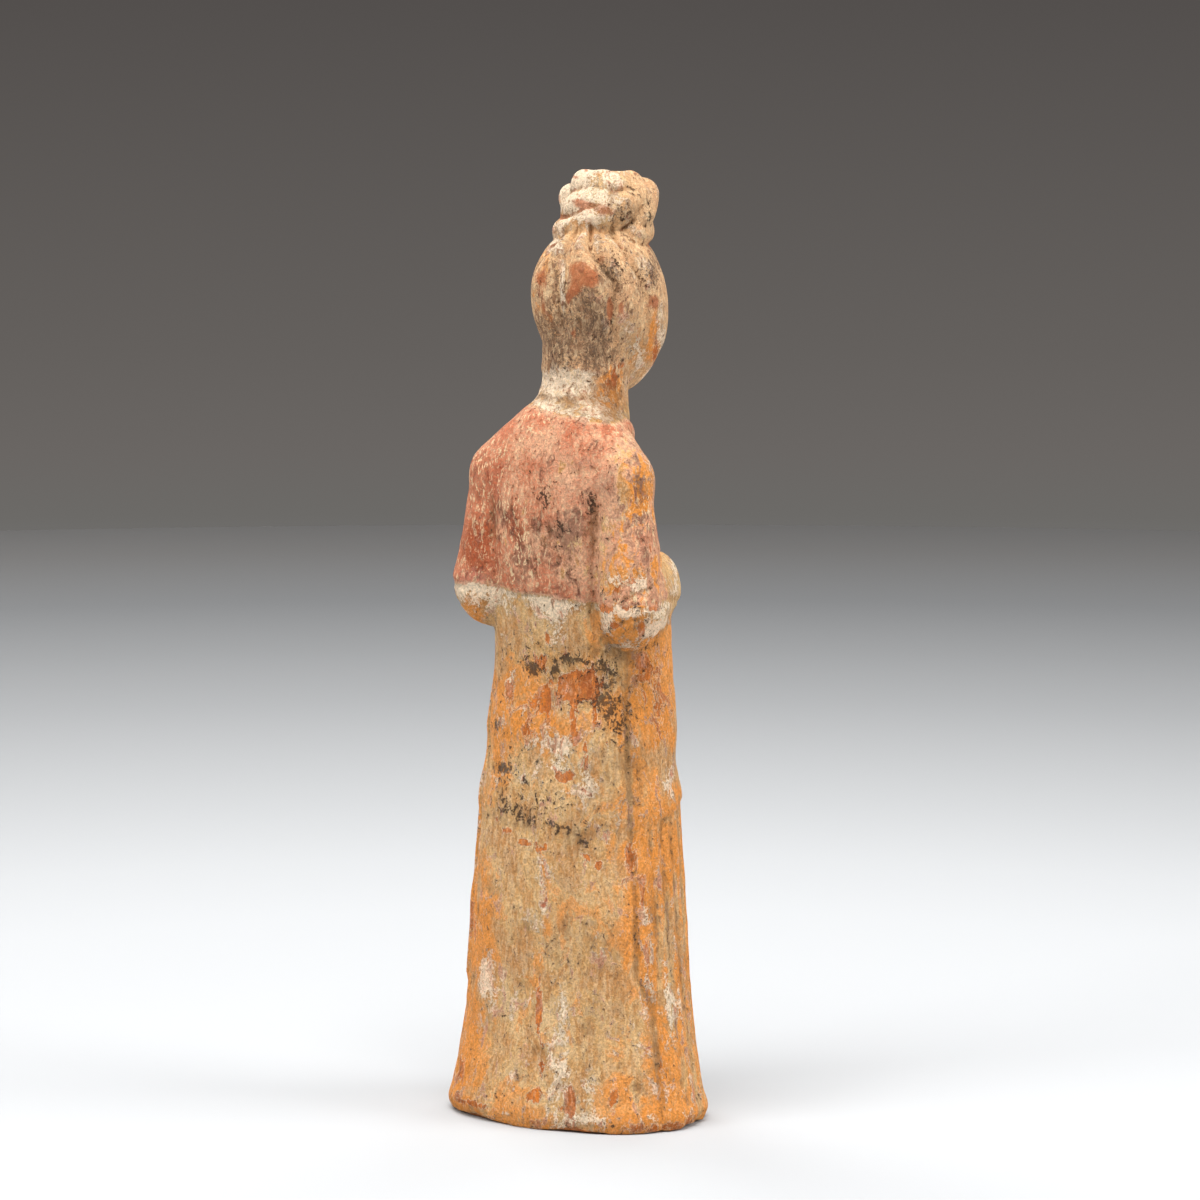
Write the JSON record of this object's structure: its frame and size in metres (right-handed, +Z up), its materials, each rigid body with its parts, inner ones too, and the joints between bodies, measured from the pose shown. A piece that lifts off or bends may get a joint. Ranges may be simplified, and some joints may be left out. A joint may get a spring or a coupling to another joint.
{
  "type": "terracotta court lady figure",
  "caption": "Standing court lady in moulded, painted terracotta: high topknot, short jacket, long hanging sleeves and a full-length pleated skirt; hollow, open underneath.",
  "frame": {"origin": "bottom centre of the figure's box, on the ground plane she stands on", "axes": "+Z up through the figure, -Y the way she faces, +X her left"},
  "size_m": [0.082, 0.0636, 0.2797],
  "materials": {
    "terracotta": "matte low-fired clay with white slip and worn earth paint"
  },
  "bodies": {
    "root": {"court_lady": "terracotta"}
  },
  "joints": []
}
